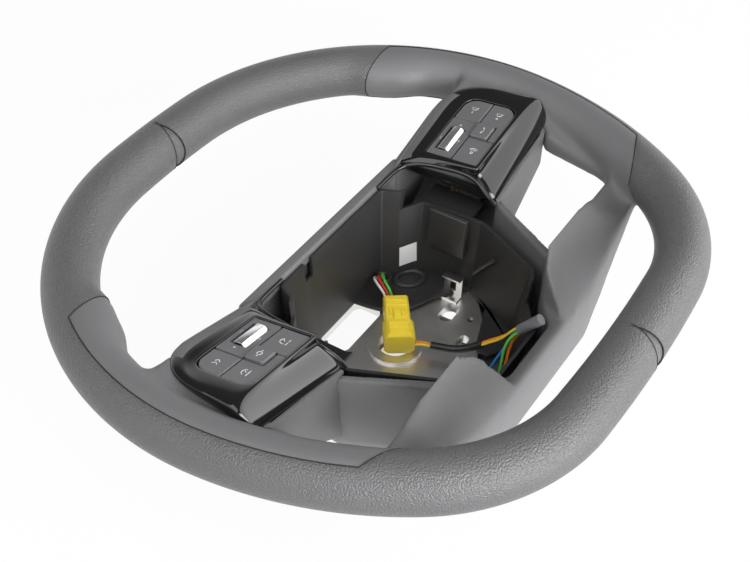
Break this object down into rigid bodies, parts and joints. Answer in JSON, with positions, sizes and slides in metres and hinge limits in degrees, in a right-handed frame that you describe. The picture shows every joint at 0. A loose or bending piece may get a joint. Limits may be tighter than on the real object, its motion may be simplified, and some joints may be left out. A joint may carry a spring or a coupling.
{
  "type": "steering wheel",
  "caption": "Flat-bottomed car steering wheel with a leather rim, spoke switch pads with keys and thumb rollers, and an open airbag well with a loose wired connector.",
  "frame": {"origin": "on the steering axis, at the back face of the hub boss", "axes": "+X to the driver's right, +Y to twelve o'clock, +Z along the steering axis towards the driver"},
  "size_m": [0.3698, 0.335, 0.1172],
  "materials": {
    "leather": "grained satin leather",
    "soft_panel": "soft grained skin",
    "foam": "moulded foam",
    "ring_steel": "plain",
    "casting": "bare casting",
    "shell": "grained matte",
    "liner": "satin",
    "gloss_black": "piano gloss",
    "key": "satin",
    "chrome": "satin chrome",
    "board": "solder mask",
    "screw": "zinc",
    "spring_steel": "bright",
    "yellow": "moulded",
    "white_wire": "insulation",
    "red_wire": "insulation",
    "green_wire": "insulation",
    "orange_wire": "insulation",
    "yellow_wire": "insulation",
    "blue_wire": "insulation",
    "sleeve": "woven sleeve",
    "tape": "cloth tape",
    "label": "plain film"
  },
  "bodies": {
    "wheel": {"armature": "casting", "rim_ring": "ring_steel", "rim_foam": "foam", "hub_shell": "shell", "hub_liner": "liner", "top_bar": "liner", "shell_screws": "screw", "yellow_socket": "yellow", "yellow_plug": "yellow", "loom_tape": "tape", "blank_label": "label", "white_wire": "white_wire", "red_wire": "red_wire", "green_wire": "green_wire", "yellow_wire": "yellow_wire", "orange_wire": "orange_wire", "black_sleeve": "sleeve", "blue_wire": "blue_wire", "green_drop_wire": "green_wire", "orange_drop_wire": "orange_wire", "right_top_rim_cover": "leather", "right_side_rim_cover": "leather", "right_low_rim_cover": "leather", "right_spoke_cover": "soft_panel", "right_spoke_back": "liner", "right_lower_arm": "shell", "right_bezel": "gloss_black", "right_roller_panel": "key", "right_switch_case": "liner", "right_switch_board": "board", "right_board_screws": "screw", "right_airbag_catch": "spring_steel", "left_top_rim_cover": "leather", "left_side_rim_cover": "leather", "left_low_rim_cover": "leather", "left_spoke_cover": "soft_panel", "left_spoke_back": "liner", "left_lower_arm": "shell", "left_bezel": "gloss_black", "left_roller_panel": "key", "left_switch_case": "liner", "left_switch_board": "board", "left_board_screws": "screw", "left_airbag_catch": "spring_steel"},
    "right_upper_key": {"right_upper_key": "key"},
    "right_lower_key": {"right_lower_key": "key"},
    "right_centre_key": {"right_centre_key": "key"},
    "right_inner_key": {"right_inner_key": "key"},
    "right_roller_carrier": {"right_roller_carrier": "liner"},
    "right_roller": {"right_roller": "chrome"},
    "left_upper_key": {"left_upper_key": "key"},
    "left_lower_key": {"left_lower_key": "key"},
    "left_centre_key": {"left_centre_key": "key"},
    "left_inner_key": {"left_inner_key": "key"},
    "left_roller_carrier": {"left_roller_carrier": "liner"},
    "left_roller": {"left_roller": "chrome"}
  },
  "joints": [
    {"name": "right_upper_key_press", "type": "slide", "parent": "wheel", "child": "right_upper_key", "axis": [0.1738, -0.127, -0.9766], "range_m": [0, 0.0008], "stiffness_N_per_m": 1000, "springref_m": -0.0005},
    {"name": "right_lower_key_press", "type": "slide", "parent": "wheel", "child": "right_lower_key", "axis": [0.1738, -0.127, -0.9766], "range_m": [0, 0.0008], "stiffness_N_per_m": 1000, "springref_m": -0.0005},
    {"name": "right_centre_key_press", "type": "slide", "parent": "wheel", "child": "right_centre_key", "axis": [0.1738, -0.127, -0.9766], "range_m": [0, 0.0008], "stiffness_N_per_m": 1000, "springref_m": -0.0005},
    {"name": "right_inner_key_press", "type": "slide", "parent": "wheel", "child": "right_inner_key", "axis": [0.1738, -0.127, -0.9766], "range_m": [0, 0.0008], "stiffness_N_per_m": 1000, "springref_m": -0.0005},
    {"name": "right_roller_carrier_press", "type": "slide", "parent": "wheel", "child": "right_roller_carrier", "axis": [0.1738, -0.127, -0.9766], "range_m": [0, 0.0008], "stiffness_N_per_m": 1000, "springref_m": -0.0005},
    {"name": "right_roller_turn", "type": "hinge", "parent": "right_roller_carrier", "child": "right_roller", "pos_m": [0.1014, 0.02607, 0.09855], "axis": [0.9845, 0, 0.1752], "continuous": true},
    {"name": "left_upper_key_press", "type": "slide", "parent": "wheel", "child": "left_upper_key", "axis": [-0.1738, -0.127, -0.9766], "range_m": [0, 0.0008], "stiffness_N_per_m": 1000, "springref_m": -0.0005},
    {"name": "left_lower_key_press", "type": "slide", "parent": "wheel", "child": "left_lower_key", "axis": [-0.1738, -0.127, -0.9766], "range_m": [0, 0.0008], "stiffness_N_per_m": 1000, "springref_m": -0.0005},
    {"name": "left_centre_key_press", "type": "slide", "parent": "wheel", "child": "left_centre_key", "axis": [-0.1738, -0.127, -0.9766], "range_m": [0, 0.0008], "stiffness_N_per_m": 1000, "springref_m": -0.0005},
    {"name": "left_inner_key_press", "type": "slide", "parent": "wheel", "child": "left_inner_key", "axis": [-0.1738, -0.127, -0.9766], "range_m": [0, 0.0008], "stiffness_N_per_m": 1000, "springref_m": -0.0005},
    {"name": "left_roller_carrier_press", "type": "slide", "parent": "wheel", "child": "left_roller_carrier", "axis": [-0.1738, -0.127, -0.9766], "range_m": [0, 0.0008], "stiffness_N_per_m": 1000, "springref_m": -0.0005},
    {"name": "left_roller_turn", "type": "hinge", "parent": "left_roller_carrier", "child": "left_roller", "pos_m": [-0.1014, 0.02607, 0.09855], "axis": [0.9845, 0, -0.1752], "continuous": true}
  ]
}
